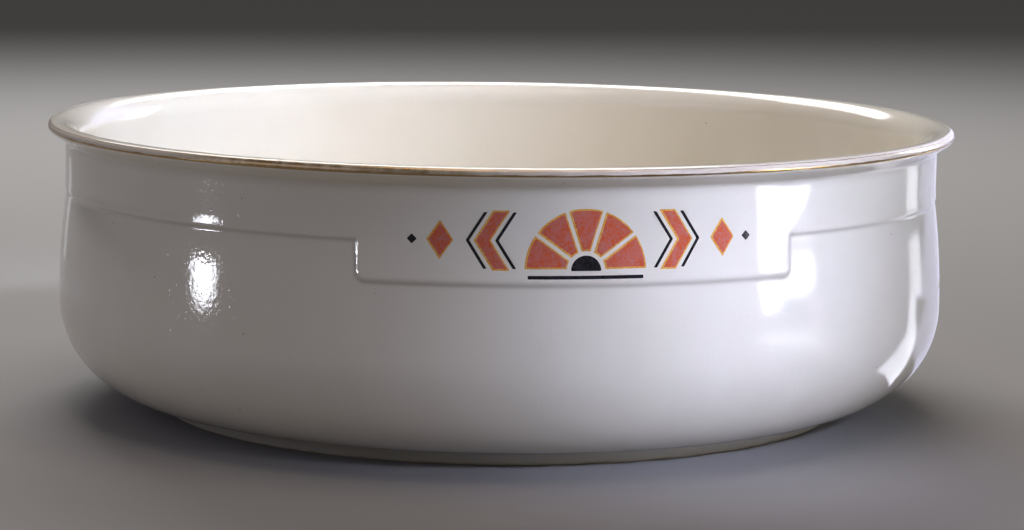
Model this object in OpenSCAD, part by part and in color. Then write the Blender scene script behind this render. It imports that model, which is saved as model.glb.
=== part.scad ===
// Round wash basin: a deep bowl of glazed white earthenware on a turned foot ring, with a flared
// and gilded lip, a raised collar that drops into a flat panel at the front and at the back, and
// a small stencilled ornament on each panel. Millimetres, +Z up. The origin is on the bowl's axis
// in the plane that it rests on, and the middle of the front panel faces -Y.

/* [Overall] */
// Diameter across the lip
rim_d = 401; // [340:1:460]
// Height from the foot to the top of the lip
rim_h = 126.5; // [112:0.5:150]
// Thickness of the side wall, with its glaze
wall_t = 7; // [5.5:0.1:8.5]
// Thickness of the floor, with its glaze
floor_t = 8; // [6:0.1:11]

/* [Side] */
// How far the widest part of the belly lies inside the lip's edge
belly_inset = 4.2; // [3:0.1:5.3]
// Height of the widest part of the belly
belly_z = 48; // [38:0.5:56]
// How far the side has drawn in, from the lip's edge, where it meets the collar
shoulder_inset = 7.8; // [7.3:0.1:10.5]

/* [Collar and panels] */
// Distance from the top of the lip down to the collar's ledge
collar_drop = 29.8; // [24:0.1:36]
// Distance from the top of the lip down to the lower edge of the panels
panel_drop = 45.9; // [41:0.1:54]
// Width of each panel, straight across from end to end
panel_w = 174; // [158:1:200]
// Radius of the panels' lower corners
panel_corner = 3; // [1:0.1:6]
// How far the panels stand proud of the side at their lower edge
panel_proud = 1.3; // [0.8:0.05:2]
// Radius of the soft outer edge of the ledge
ledge_round = 0.7; // [0.4:0.05:0.9]
// Radius of the glaze-filled corner under the ledge
ledge_fillet = 0.4; // [0.1:0.05:0.5]

/* [Lip] */
// How far the neck under the lip lies inside the lip's edge
neck_inset = 7.3; // [6.3:0.1:8.7]
// Lean of the lip's underside, in degrees from the vertical
lip_lean = 48; // [42:1:54]
// Radius between the neck and the lip's underside
neck_fillet = 3; // [1.5:0.1:4.5]
// Radius that rolls the inside of the wall over into the top of the lip
lip_roll = 10.2; // [8.6:0.1:11.4]
// Radius of the lip's outer edge
lip_edge = 2.3; // [1.8:0.1:2.8]

/* [Foot] */
// Outer diameter of the foot ring
foot_d = 303; // [270:1:310]
// Width of the foot ring
foot_w = 7; // [5:0.1:10]
// Height of the bowl's underside above the rest plane, outside the foot ring
foot_h = 6; // [4.5:0.1:8]
// Depth of the recess inside the foot ring
recess_h = 5; // [3.5:0.1:7]
// Radius of the two edges that the foot ring rests between
foot_round = 1.2; // [0.6:0.1:1.8]
// Radius between the foot ring and the underside
foot_fillet = 2; // [1:0.1:2.5]

/* [Glaze, gilding and enamel] */
// Thickness of the glaze
glaze_t = 0.3; // [0.2:0.02:0.4]
// Height above the rest plane where the glaze was wiped off the foot
glaze_stop = 2; // [1.9:0.1:3]
// Thickness of the gilding and of the fired enamel colours
film_t = 0.15; // [0.1:0.01:0.2]
// Where the gilding starts on the lip's edge, in degrees below its widest line
gilt_below = 20; // [5:1:35]

/* [Ornament] */
// Height of the fan's centre above the lower edge of the panel
fan_lift = 5.4; // [4:0.1:8]
// Radius of the fan's half disc
fan_core = 6; // [4:0.1:7]
// Inner radius of the fan's rays
fan_in = 8.4; // [7.6:0.1:10]
// Outer radius of the fan's rays
fan_out = 23.5; // [18:0.1:25]
// Number of rays
rays = 5; // [3:1:7]
// Gap between two rays, measured across it
ray_gap = 2.8; // [2:0.1:3.6]
// Length of the bar under the fan
bar_l = 46; // [30:1:54]
// Thickness of the bar and of the thin chevrons
line_t = 1.4; // [0.8:0.1:1.8]
// Width of the yellow outlines
outline_w = 0.7; // [0.4:0.05:0.9]
// Distance of the chevrons' middle from the middle of the panel, along the surface
chevron_at = 37; // [36:0.5:42]
// Height of a chevron
chevron_h = 22; // [16:0.5:24]
// How far a chevron's point runs ahead of its ends
chevron_point = 7; // [4:0.1:8]
// Thickness of the broad chevron, measured along the surface
chevron_t = 5; // [3.5:0.1:5.5]
// Gap between the broad chevron's outline and the thin chevrons
chevron_gap = 1.8; // [1:0.1:2.4]
// Distance of the diamonds from the middle of the panel, along the surface
diamond_at = 57; // [55:0.5:62]
// Width of a diamond
diamond_w = 9; // [6:0.1:11]
// Height of a diamond
diamond_h = 13; // [8:0.1:16]
// Distance of the small squares from the middle of the panel, along the surface
spot_at = 68; // [66:0.5:72]
// Width across the corners of a small square
spot_w = 4; // [2.5:0.1:5]

/* [Hidden] */
$fn = 240;

clay_colour = "#d9ccb4";
glaze_colour = "#e9e4d6";
gilt_colour = "#b48a3c";
black_colour = "#1d1d22";
coral_colour = "#d8663f";
yellow_colour = "#e3a12f";

front = 0;
back = 180;
// Spare length by which a cutting or joining shape runs past what it cuts or joins
over = 2;
// How far two lines of an outline that flow into each other run past each other
meet = 0.002;
// Number of flat facets across the gilding
gilt_facets = 10;
up = [0, 1];
down = [0, -1];

function unit(v) = v / norm(v);

// Radii of the finished surface, out from the axis
rim_r = rim_d / 2;
belly_r = rim_r - belly_inset;
shoulder_r = rim_r - shoulder_inset;
neck_r = rim_r - neck_inset;
throat_r = neck_r - wall_t;
foot_r = foot_d / 2;
foot_in_r = foot_r - foot_w;

// Heights of the finished surface
ledge_z = rim_h - collar_drop;
panel_z = rim_h - panel_drop;
floor_z = foot_h + floor_t;

// Lip: the roll's centre, then the centre of the outer edge, which touches the roll from inside
roll_c = [throat_r + lip_roll, rim_h - lip_roll];
edge_x = rim_r - lip_edge;
edge_c = [edge_x, roll_c[1] + sqrt(pow(lip_roll - lip_edge, 2) - pow(edge_x - roll_c[0], 2))];
roll_dir = unit(edge_c - roll_c);
// Its underside is a straight slope that ends in a fillet on the neck
lean_out = [cos(lip_lean), -sin(lip_lean)];
slope_x = neck_r + neck_fillet * (1 - cos(lip_lean));
slope_z = edge_c[1] - ((edge_c[0] - slope_x) * cos(lip_lean) + lip_edge) / sin(lip_lean);
neck_z = slope_z - neck_fillet * sin(lip_lean);
neck_fillet_c = [neck_r + neck_fillet, neck_z];
function lean_z(x, inset) =
    edge_c[1] - (lip_edge - inset) * sin(lip_lean)
    + (x - edge_c[0] - (lip_edge - inset) * cos(lip_lean)) / tan(lip_lean);

// Radius of an arc that starts upright and has moved sideways by run at a distance rise
function arc_r(rise, run) = (rise * rise + run * run) / (2 * run);

// Side: one arc, upright at the belly, that reaches the shoulder at the ledge
side_arc = arc_r(ledge_z - belly_z, belly_r - shoulder_r);
side_c = [belly_r - side_arc, belly_z];
function side_x(z) = side_c[0] + sqrt(side_arc * side_arc - pow(z - belly_z, 2));

// Collar: one hollow arc, upright at the neck, that stands proud at the panel's lower edge
collar_arc = arc_r(neck_z - panel_z, side_x(panel_z) + panel_proud - neck_r);
collar_c = [neck_r + collar_arc, neck_z];
function collar_x(z) = collar_c[0] - sqrt(collar_arc * collar_arc - pow(neck_z - z, 2));

// Ledge: its rounded edge touches the collar's arc, and the fillet under it touches the side
ledge_step = collar_x(ledge_z) - shoulder_r;
edge_r = min(ledge_round, ledge_step * 0.55);
under_r = min(ledge_fillet, ledge_step * 0.35);
ledge_edge_c = [
    collar_c[0] - sqrt(pow(collar_arc + edge_r, 2) - pow(neck_z - ledge_z - edge_r, 2)),
    ledge_z + edge_r
];
ledge_under_c = [
    side_c[0] + sqrt(pow(side_arc + under_r, 2) - pow(ledge_z - under_r - belly_z, 2)),
    ledge_z - under_r
];

// Lower corner outside and inside: quarter arcs from the belly to the underside and the floor
corner_r = belly_z - foot_h;
corner_x = belly_r - corner_r;
inner_corner_r = belly_z - floor_z;
inner_corner_x = belly_r - wall_t - inner_corner_r;

// Ornament: heights on the panel, and how far apart the fan's rays are
fan_z = panel_z + fan_lift;
middle_z = fan_z + fan_out / 2;
ray_step = 180 / rays;
// Each part of the ornament is drawn flat and pushed through the film from this far in front
stencil_depth = 30;
outline_thin = chevron_gap + line_t;

// ---- Sections, with r along x and z along y ----
// "inset" is how far a section lies inside the finished surface: 0 for the glaze, glaze_t for
// the clay under it.

module disc_at(c, r) {
    translate(c) circle(r);
}

// What lies between an arc and the corner of the two lines that it touches: it fills a hollow
// corner, or is cut off a sharp one. c is the arc's centre, and d1 and d2 point to where it
// touches. The arc runs past both lines by meet, so that it crosses them cleanly.
module corner(c, r, d1, d2, reach = over) {
    far = r + reach;
    difference() {
        polygon([c, c + far * d1, c + far * (d1 + d2) / (1 + d1 * d2), c + far * d2]);
        disc_at(c, r + meet);
    }
}

// Outside of the bowl between its underside and the collar
module side_section(inset) {
    translate([0, foot_h + inset]) square([corner_x, corner_r - inset]);
    intersection() {
        disc_at([corner_x, belly_z], corner_r - inset);
        translate([corner_x, foot_h]) square([corner_r, corner_r]);
    }
    intersection() {
        disc_at(side_c, side_arc - inset);
        translate([0, belly_z]) square([rim_r, ledge_z + over - belly_z]);
    }
}

// Collar from its ledge into the neck, with the soft edge and the filled corner of the ledge
module collar_section(inset) {
    top = neck_z + neck_fillet / 6;
    difference() {
        translate([0, ledge_z + inset]) square([rim_r, top - ledge_z - inset]);
        disc_at(collar_c, collar_arc + inset);
        corner(ledge_edge_c, edge_r - inset, down, unit(collar_c - ledge_edge_c));
    }
    corner(ledge_under_c, under_r + inset, up, unit(side_c - ledge_under_c));
}

// Lip outside, filled in to the axis
module lip_section(inset) {
    fillet = neck_fillet + inset;
    past = roll_dir + [0.3, 0];
    difference() {
        polygon([
            [0, neck_z], neck_fillet_c, neck_fillet_c - fillet * lean_out,
            [rim_r + over, lean_z(rim_r + over, inset)], [rim_r + over, rim_h - inset],
            [0, rim_h - inset]
        ]);
        disc_at(neck_fillet_c, fillet + meet);
        corner(edge_c, lip_edge - inset, lean_out, roll_dir, lip_roll);
        difference() {
            polygon([
                roll_c, roll_c + 2 * lip_roll * past, roll_c + 2 * lip_roll * (past + up),
                roll_c + 2 * lip_roll * up
            ]);
            disc_at(roll_c, lip_roll - inset);
        }
    }
}

// Foot ring; the clay's resting edges are rounded, and the glaze stops short of them
module foot_section(inset) {
    width = foot_w - 2 * inset;
    translate([foot_in_r + inset, foot_round]) square([width, foot_h + over - foot_round]);
    translate([foot_in_r + inset + foot_round, 0]) square([width - 2 * foot_round, foot_h]);
    for (x = [foot_in_r + inset + foot_round, foot_r - inset - foot_round])
        disc_at([x, foot_round], foot_round);
    // The fillets that run from the ring into the underside and into the recess
    difference() {
        translate([foot_r - over, foot_h - foot_fillet])
            square([foot_fillet + over, foot_fillet + over]);
        disc_at([foot_r + foot_fillet, foot_h - foot_fillet], foot_fillet + inset);
    }
    difference() {
        translate([foot_in_r - foot_fillet, recess_h - foot_fillet])
            square([foot_fillet + over, foot_fillet + over]);
        disc_at([foot_in_r - foot_fillet, recess_h - foot_fillet], foot_fillet + inset);
    }
    // The base inside the ring, level with the recess
    translate([0, recess_h + inset]) square([foot_r - over, floor_t / 2]);
}

// The bowl's hollow, from the floor to above the lip; a larger one leaves room for the glaze
module hollow_section(inset) {
    translate([0, floor_z - inset]) square([inner_corner_x, belly_z - floor_z + inset]);
    intersection() {
        disc_at([inner_corner_x, belly_z], inner_corner_r + inset);
        translate([inner_corner_x, floor_z - inset])
            square([inner_corner_r + inset, belly_z - floor_z + inset]);
    }
    intersection() {
        disc_at(side_c, side_arc - wall_t + inset);
        translate([0, belly_z]) square([rim_r, neck_z - belly_z]);
    }
    translate([0, belly_z]) square([throat_r + inset, roll_c[1] - belly_z]);
    difference() {
        translate([0, roll_c[1]]) square([roll_c[0], lip_roll + over]);
        disc_at(roll_c, lip_roll - inset);
    }
}

module bowl_section(inset) {
    difference() {
        union() {
            side_section(inset);
            collar_section(inset);
            lip_section(inset);
            foot_section(inset);
        }
        hollow_section(inset);
    }
}

// ---- Solids ----

// Both panels: the collar's arc carried down below the ledge, cut to the panels' outline
module panels(inset) {
    width = panel_w - 2 * inset;
    corner = panel_corner - inset;
    top = ledge_z + edge_r + over;
    intersection() {
        rotate_extrude() difference() {
            translate([shoulder_r - over, panel_z - over]) square([wall_t, top - panel_z + over]);
            disc_at(collar_c, collar_arc + inset);
        }
        rotate([90, 0, 0]) linear_extrude(rim_d, center = true) {
            translate([-width / 2, panel_z + inset + corner]) square([width, top + over - panel_z]);
            translate([corner - width / 2, panel_z + inset]) square([width - 2 * corner, wall_t]);
            for (side = [-1, 1])
                disc_at([side * (width / 2 - corner), panel_z + inset + corner], corner);
        }
    }
}

module bowl(inset) {
    rotate_extrude() bowl_section(inset);
    panels(inset);
}

// The fired body: wall, floor, lip, collar, panels and foot ring in one piece of clay
module clay_body() {
    color(clay_colour) bowl(glaze_t);
}

// The glaze over all of it but the foot's resting edge
module glaze_coat() {
    color(glaze_colour) difference() {
        bowl(0);
        bowl(glaze_t);
        translate([0, 0, -over]) cylinder(h = glaze_stop + over, r = rim_r);
    }
}

// Gilding on the rounded outer edge of the lip, up to where the edge meets the roll of the wall
// at its top. The film has flat facets, whose backs touch the round glaze between their corners.
module gilt_rim_band() {
    step = (atan2(roll_dir[1], roll_dir[0]) + gilt_below) / gilt_facets;
    back = (lip_edge + meet) / cos(step / 2);
    ways = [for (i = [0 : gilt_facets]) [cos(i * step - gilt_below), sin(i * step - gilt_below)]];
    color(gilt_colour) rotate_extrude() polygon(concat(
        [for (way = ways) edge_c + (lip_edge + film_t) * way],
        [for (i = [0 : gilt_facets]) edge_c + back * ways[gilt_facets - i]]
    ));
}

// ---- Ornament, drawn flat; "grow" widens a figure all round for its outline ----

module ray(grow) {
    // The rays' sides run parallel to the middle line of the gap beside them
    half = ray_step / 2;
    side_shift = (ray_gap / 2 - grow) / sin(half);
    reach = 2 * fan_out;
    difference() {
        intersection() {
            circle(fan_out + grow);
            polygon([
                [0, side_shift], [reach * sin(half), side_shift + reach * cos(half)],
                [-reach * sin(half), side_shift + reach * cos(half)]
            ]);
        }
        circle(fan_in - grow);
    }
}

module chevron(thickness, grow) {
    half_h = chevron_h / 2;
    slant = grow * norm([1, chevron_point / half_h]);
    end_z = half_h + grow;
    end_x = -chevron_point * grow / half_h;
    left = -thickness / 2 - slant;
    right = thickness / 2 + slant;
    translate([-chevron_point / 2, 0]) polygon([
        [end_x + left, -end_z], [end_x + right, -end_z], [chevron_point + right, 0],
        [end_x + right, end_z], [end_x + left, end_z], [chevron_point + left, 0]
    ]);
}

module diamond(w, h, grow) {
    side = norm([w, h]);
    half_w = w / 2 + grow * side / h;
    half_h = h / 2 + grow * side / w;
    polygon([[half_w, 0], [0, half_h], [-half_w, 0], [0, -half_h]]);
}

// A skin of film_t on the collar's surface, cut by what is drawn flat at this place on it
module on_panel(face, along, z) {
    intersection() {
        rotate_extrude() intersection() {
            difference() {
                disc_at(collar_c, collar_arc);
                disc_at(collar_c, collar_arc - film_t);
            }
            translate([neck_r - over, panel_z]) square([rim_r - neck_r + over, neck_z - panel_z]);
        }
        rotate([0, 0, face + along * 180 / (PI * neck_r)])
            translate([0, stencil_depth - neck_r, z])
            rotate([90, 0, 0])
            linear_extrude(2 * stencil_depth)
            children();
    }
}

// The figures that are filled with coral, or their outlines when grow is above 0
module coral_figures(face, grow) {
    for (i = [0 : rays - 1])
        on_panel(face, 0, fan_z) rotate((i + 0.5) * ray_step - 90) outlined(grow) ray($grow);
    for (side = [-1, 1]) {
        on_panel(face, side * chevron_at, middle_z)
            rotate(90 - side * 90) outlined(grow) chevron(chevron_t, $grow);
        on_panel(face, side * diamond_at, middle_z) outlined(grow) diamond(diamond_w, diamond_h, $grow);
    }
}

// Draws its figure, or the rim of width grow round it
module outlined(grow) {
    if (grow > 0)
        difference() {
            union() {
                $grow = grow;
                children();
            }
            union() {
                $grow = 0;
                children();
            }
        }
    else {
        $grow = 0;
        children();
    }
}

module black_enamel(face) {
    color(black_colour) {
        on_panel(face, 0, fan_z) intersection() {
            circle(fan_core);
            translate([-fan_core, 0]) square([2 * fan_core, fan_core]);
        }
        on_panel(face, 0, fan_z - outline_thin)
            translate([-bar_l / 2, 0]) square([bar_l, line_t]);
        for (side = [-1, 1]) {
            for (step = [-1, 1])
                on_panel(face, side * (chevron_at + step * (chevron_t / 2 + outline_thin)), middle_z)
                    rotate(90 - side * 90) chevron(line_t, 0);
            on_panel(face, side * spot_at, middle_z) diamond(spot_w, spot_w, 0);
        }
    }
}

module coral_enamel(face) {
    color(coral_colour) coral_figures(face, 0);
}

module yellow_enamel(face) {
    color(yellow_colour) coral_figures(face, outline_w);
}

module front_enamel_black() {
    black_enamel(front);
}

module front_enamel_coral() {
    coral_enamel(front);
}

module front_enamel_yellow() {
    yellow_enamel(front);
}

module back_enamel_black() {
    black_enamel(back);
}

module back_enamel_coral() {
    coral_enamel(back);
}

module back_enamel_yellow() {
    yellow_enamel(back);
}

clay_body();
glaze_coat();
gilt_rim_band();
front_enamel_black();
front_enamel_coral();
front_enamel_yellow();
back_enamel_black();
back_enamel_coral();
back_enamel_yellow();
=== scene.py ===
# %% [markdown]
# # A glazed and gilded wash basin
#
# The basin is one fired piece of earthenware. A potter turns it on a wheel, presses a flat panel
# into its collar at the front and at the back, dips it in glaze, and fires gold and three colours
# on top. This lesson follows the same order. The CAD frame gives the place and the size of
# everything, and each new piece stands for one node of that frame.

# %% Load the frame
import math

import bpy
import numpy as np
from mathutils import Matrix, Vector


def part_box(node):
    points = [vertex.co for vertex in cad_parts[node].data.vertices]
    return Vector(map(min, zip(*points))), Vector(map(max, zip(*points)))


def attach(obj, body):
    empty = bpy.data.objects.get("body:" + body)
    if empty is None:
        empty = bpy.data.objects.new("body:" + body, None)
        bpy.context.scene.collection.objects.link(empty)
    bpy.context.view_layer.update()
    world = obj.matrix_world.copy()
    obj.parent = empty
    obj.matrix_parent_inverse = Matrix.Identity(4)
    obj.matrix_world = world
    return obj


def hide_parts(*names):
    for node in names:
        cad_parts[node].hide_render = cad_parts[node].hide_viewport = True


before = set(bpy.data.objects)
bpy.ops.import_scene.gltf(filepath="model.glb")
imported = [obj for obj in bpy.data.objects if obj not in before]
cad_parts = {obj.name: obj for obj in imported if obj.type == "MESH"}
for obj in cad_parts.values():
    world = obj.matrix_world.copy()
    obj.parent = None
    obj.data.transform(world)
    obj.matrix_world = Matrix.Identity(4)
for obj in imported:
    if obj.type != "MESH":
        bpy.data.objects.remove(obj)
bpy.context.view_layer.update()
MM = 0.001
print("frame nodes:", sorted(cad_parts))

# %% [markdown]
# ## Small helpers
#
# Colours are easiest to pick as sRGB hex values, as a paint program shows them, but shaders work
# in linear light, so one function turns them over. A second one adds a shader node, sets its
# inputs and links it, which keeps every material below short enough to read. The last one gives a
# finished material to a piece.


# %% Colour and node helpers
def linear(hex_colour):
    """An sRGB hex colour as the linear RGBA that shaders use."""
    channels = [int(hex_colour[i:i + 2], 16) / 255 for i in (1, 3, 5)]
    return [c / 12.92 if c <= 0.04045 else ((c + 0.055) / 1.055) ** 2.4 for c in channels] + [1]


def add(tree, kind, inputs=None, **settings):
    """Adds a shader node; an input is a value, or another node's output to link it to."""
    node = tree.nodes.new("ShaderNode" + kind)
    for key, value in settings.items():
        setattr(node, key, value)
    for key, value in (inputs or {}).items():
        if isinstance(value, bpy.types.NodeSocket):
            tree.links.new(value, node.inputs[key])
        else:
            node.inputs[key].default_value = value
    return node


def new_material(name):
    """An empty material, and the node tree to fill."""
    material = bpy.data.materials.new(name)
    material.use_nodes = True
    material.node_tree.nodes.clear()
    return material, material.node_tree


def finish_material(tree, shader):
    """Ends a node tree with the material's output."""
    add(tree, "OutputMaterial", {"Surface": shader.outputs[0]})


def cover(piece, material):
    """Gives a piece this material and no other."""
    piece.data.materials.clear()
    piece.data.materials.append(material)


print("mid grey is", [round(c, 3) for c in linear("#808080")])

# %% [markdown]
# ## The camera
#
# The photograph looks slightly down at the basin from well away, and a little from the left of
# the front panel's middle. The camera's place and lens come from matching the lip, the ledge, the
# belly and the foot ring of the CAD model to the photograph.

# %% Place the camera
CAMERA_AT = Vector((-248.15, -1414.54, 264.52)) * MM
CAMERA_RIGHT = Vector((0.984534, -0.174665, 0.013574))
CAMERA_UP = Vector((0.011315, 0.140713, 0.989986))
LENS_MM = 113.43
SENSOR_MM = 36

camera_data = bpy.data.cameras.new("camera")
camera_data.lens = LENS_MM
camera_data.sensor_width = SENSOR_MM
camera_data.sensor_fit = "HORIZONTAL"
camera = bpy.data.objects.new("camera", camera_data)
bpy.context.scene.collection.objects.link(camera)
turn = Matrix((CAMERA_RIGHT, CAMERA_UP, CAMERA_RIGHT.cross(CAMERA_UP))).transposed()
camera.matrix_world = Matrix.Translation(CAMERA_AT) @ turn.to_4x4()
bpy.context.scene.camera = camera
print("camera is", round(CAMERA_AT.length, 3), "m from the foot's middle")

# %% [markdown]
# ## The floor
#
# The basin stands on a plain pale floor. A glossy floor would mirror every light that stands
# behind the basin, so this one is matt: it only takes the basin's shadow.

# %% Pale floor
FLOOR_SIZE = 8.0
bpy.ops.object.select_all(action="DESELECT")
bpy.ops.mesh.primitive_plane_add(size=FLOOR_SIZE, location=(0, 0, 0))
floor = bpy.context.object
floor.name = "floor"
# An IOR of 1 takes the last gloss away, so no light leaves a mark on the floor
floor_material, tree = new_material("pale_matt_floor")
floor_shader = add(tree, "BsdfPrincipled", {
    "Base Color": linear("#a09e9b"), "Roughness": 0.9, "IOR": 1.0})
finish_material(tree, floor_shader)
cover(floor, floor_material)
print("floor is", FLOOR_SIZE, "m wide")

# %% [markdown]
# ## The light
#
# A glossy bowl shows its surroundings more than itself, so the lights are placed for what they
# draw on the glaze. One big lamp could do both jobs, but its shading and its reflection could not
# be set apart. So broad softboxes shade the bowl, some of them unseen in the gloss, and bright
# cards draw the reflections and shade nothing. A softbox is given by the direction that it is
# seen in from the bowl: azimuth is counted from the front panel towards the right, elevation
# upwards.

# %% How a light is placed
BOWL_MIDDLE = Vector((0, 0, 0.07))
SKY, WALL_PAINT = "#f4f6ff", "#dbdcff"


def direction(azimuth, elevation):
    """A step of length 1 that way, in the scene's X, Y and Z."""
    a, e = math.radians(azimuth), math.radians(elevation)
    return Vector((math.sin(a) * math.cos(e), -math.cos(a) * math.cos(e), math.sin(e)))


def area_light(name, place, aim, width, height, radiance, colour, spread=180):
    """A rectangular light that faces a point; radiance 1 shines as bright as white paper."""
    data = bpy.data.lights.new(name, "AREA")
    data.shape = "RECTANGLE"
    data.size, data.size_y = width, height
    data.energy = radiance * math.pi * width * height
    data.color = linear(colour)[:3]
    data.spread = math.radians(spread)
    light = bpy.data.objects.new(name, data)
    light.location = place
    light.rotation_euler = (Vector(place) - Vector(aim)).to_track_quat("Z", "Y").to_euler()
    light.visible_camera = False
    bpy.context.scene.collection.objects.link(light)
    return light


def softbox(name, azimuth, elevation, distance, width, height, radiance, colour, aim=BOWL_MIDDLE,
            spread=180):
    """An area light that is given by the direction that it is seen in from the bowl."""
    place = BOWL_MIDDLE + direction(azimuth, elevation) * distance
    return area_light(name, place, aim, width, height, radiance, colour, spread)


print("straight up is", [round(c, 2) for c in direction(0, 90)])


# %% Broad light that leaves no mark on the gloss
def shading_box(*how):
    """A softbox that shades the bowl and isn't seen in its gloss."""
    softbox(*how).visible_glossy = False


# Daylight from the right, then three narrow beams: on the front panel, and on the inside's left
# and back. After the name come azimuth, elevation, distance, width, height, radiance and colour;
# a beam also has the point that it is aimed at and its spread in degrees
shading_box("daylight_right", 62, 5, 2.2, 0.80, 0.55, 2.5, SKY)
shading_box("grid_front", 24, 20, 1.0, 0.1, 0.1, 3.25, "#d4dbff",
            Vector((0.074, -0.18, 0.07)), 18)
shading_box("grid_inside_left", 55, 30, 1.5, 0.15, 0.15, 3.0, "#cfdcff",
            Vector((-0.12, 0.13, 0.10)), 16)
shading_box("grid_inside_back", 30, 38, 1.5, 0.15, 0.15, 1.0, "#fff8f8",
            Vector((-0.02, 0.17, 0.10)), 16)
print("shading boxes:", len(bpy.data.lights))

# %% The room: ceiling, back, left side and right wall
softbox("ceiling", 10, 82, 1.6, 1.0, 1.0, 2.15, "#ffede6")
softbox("behind", 180, 40, 1.8, 1.2, 0.8, 7.5, "#fcfcff")
softbox("fill_left", -65, 22, 2.2, 1.6, 1.0, 0.78, "#d2d2ff")
# The wall and the window on the right only show in the gloss
softbox("pale_wall_right", 140, 14, 2.4, 1.3, 1.4, 1.8, WALL_PAINT).visible_diffuse = False
softbox("tall_window_right", 121, 16, 2.2, 0.42, 0.82, 14.0, SKY).visible_diffuse = False
print("lights so far:", len(bpy.data.lights))


# %% Cards that only show in the gloss
def card(name, place, aim, width, height, radiance, spread=180):
    """A small bright panel that is only seen as a reflection."""
    light = area_light(name, place, aim, width, height, radiance, SKY, spread)
    light.visible_diffuse = False


def floor_card(name, azimuth, near, far, width, radiance, colour, start=(0, 0)):
    """A card that lies on the floor, face up, from near to far away from its start."""
    way = direction(azimuth, 0)
    place = Vector((*start, 0.002)) + way * (near + far) / 2
    light = area_light(name, place, place + Vector((0, 0, 1)), far - near, width, radiance, colour)
    light.rotation_euler = (math.pi, 0, math.atan2(way.y, way.x))
    light.visible_diffuse = False


# A window with its panes on the right, and two cards on the left. After the name come the card's
# place, the point that it faces, its width, height and radiance
card("window_pane", (0.550, -0.366, 0.078), (0.085, -0.187, 0.078), 0.160, 0.050, 16.0)
card("window_bar", (0.520, -0.422, 0.108), (0.078, -0.178, 0.108), 0.052, 0.150, 16.0)
card("window_sill", (0.419, -0.300, 0.006), (0.092, -0.175, 0.006), 0.165, 0.012, 5.0)
card("window_side", (0.564, 0.171, 0.032), (0.156, -0.115, 0.032), 0.080, 0.060, 2.2)
card("card_left", (-0.70, -0.134, 0.052), (-0.144, -0.132, 0.055), 0.10, 0.08, 0.16,
     spread=11.2)
card("card_far_left", (-0.32, 0.465, 0.032), (-0.193, -0.018, 0.08), 0.03, 0.05, 0.4)
# What the window and the wall would throw up from the floor on to the bowl's lower edge: the
# azimuth that the card runs in, how near and how far it reaches, its width, radiance and colour
floor_card("gleam_of_window", 122, 0.03, 0.50, 0.038, 2.9, "#f0f2ff", (0.162, -0.109))
floor_card("gleam_of_wall_far", 142, 0.45, 1.5, 0.7, 0.8, WALL_PAINT)
floor_card("gleam_of_wall_near", 148, 0.08, 0.417, 0.2, 0.8, WALL_PAINT, (0.172, -0.090))

# %% Faint light from all round
ROOM_STRENGTH = 0.12
world = bpy.data.worlds.new("room")
bpy.context.scene.world = world
world.use_nodes = True
background = world.node_tree.nodes["Background"]
background.inputs["Color"].default_value = linear("#ffffff")
background.inputs["Strength"].default_value = ROOM_STRENGTH
bpy.context.scene.view_settings.view_transform = "Standard"
print("the room shines with", ROOM_STRENGTH, "of white paper's brightness")

# %% [markdown]
# ## The section of the bowl
#
# A turned bowl is fully given by its section: half of the outline that a cut down the middle
# would show. Its points could be typed in, but a potter's profile is made of a few arcs, and arcs
# keep the curve fair. So the section is put together from arcs between named heights and radii,
# in millimetres, out from the axis and up from the foot. The lip's radius and height are read
# from the frame.

# %% Named sizes of the section
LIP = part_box("glaze_coat")[1] / MM
LIP_R, LIP_H = LIP.x, LIP.z
WALL, FLOOR_TOP = 7.0, 14.0
# The body: widest at the belly, a little narrower at the shoulder under the collar's ledge
BELLY_R, BELLY_Z = LIP_R - 4.2, 48.0
SHOULDER_R = LIP_R - 7.8
NECK_R = LIP_R - 7.3
THROAT_R = NECK_R - WALL
# The collar ends in a ledge, and its two panels reach further down
LEDGE_Z, PANEL_Z = LIP_H - 29.8, LIP_H - 45.9
PANEL_HALF, PANEL_CORNER, PANEL_PROUD = 87.0, 3.0, 1.3
# The lip rolls outwards from the throat to a small rounded edge, over a leaning underside
ROLL_R, EDGE_R, LEAN, NECK_FILLET = 10.2, 2.3, math.radians(58), 2.5
# The foot is a ring round a shallow recess
FOOT_R, FOOT_W, FOOT_H, RECESS_H = 151.5, 7.0, 6.0, 5.0
FOOT_ROUND, FOOT_FILLET = 0.8, 2.0
# The glaze's thickness, and how far above the foot's resting edge it ends
GLAZE, GLAZE_STOP = 0.3, 0.9
print("lip", round(LIP_R, 2), "mm out and", round(LIP_H, 2), "mm up; throat", round(THROAT_R, 2))

# %% Where the arcs meet
# The lip's roll and its rounded outer edge touch; a slope under them runs into the neck's fillet
ROLL_X, ROLL_Z = THROAT_R + ROLL_R, LIP_H - ROLL_R
EDGE_X = LIP_R - EDGE_R
EDGE_Z = ROLL_Z + math.sqrt((ROLL_R - EDGE_R) ** 2 - (EDGE_X - ROLL_X) ** 2)
SLOPE_X = NECK_R + NECK_FILLET * (1 - math.cos(LEAN))
NECK_Z = (EDGE_Z - ((EDGE_X - SLOPE_X) * math.cos(LEAN) + EDGE_R) / math.sin(LEAN)
          - NECK_FILLET * math.sin(LEAN))
EDGE_TOP = math.degrees(math.atan2(EDGE_Z - ROLL_Z, EDGE_X - ROLL_X))


def arc_radius(rise, run):
    """Radius of an arc that starts upright and has moved sideways by run after rise."""
    return (rise * rise + run * run) / (2 * run)


SIDE_ARC = arc_radius(LEDGE_Z - BELLY_Z, BELLY_R - SHOULDER_R)
print("the neck's fillet ends at", round(NECK_Z, 2), "mm; the side's arc has a radius of",
      round(SIDE_ARC, 1))


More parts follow.
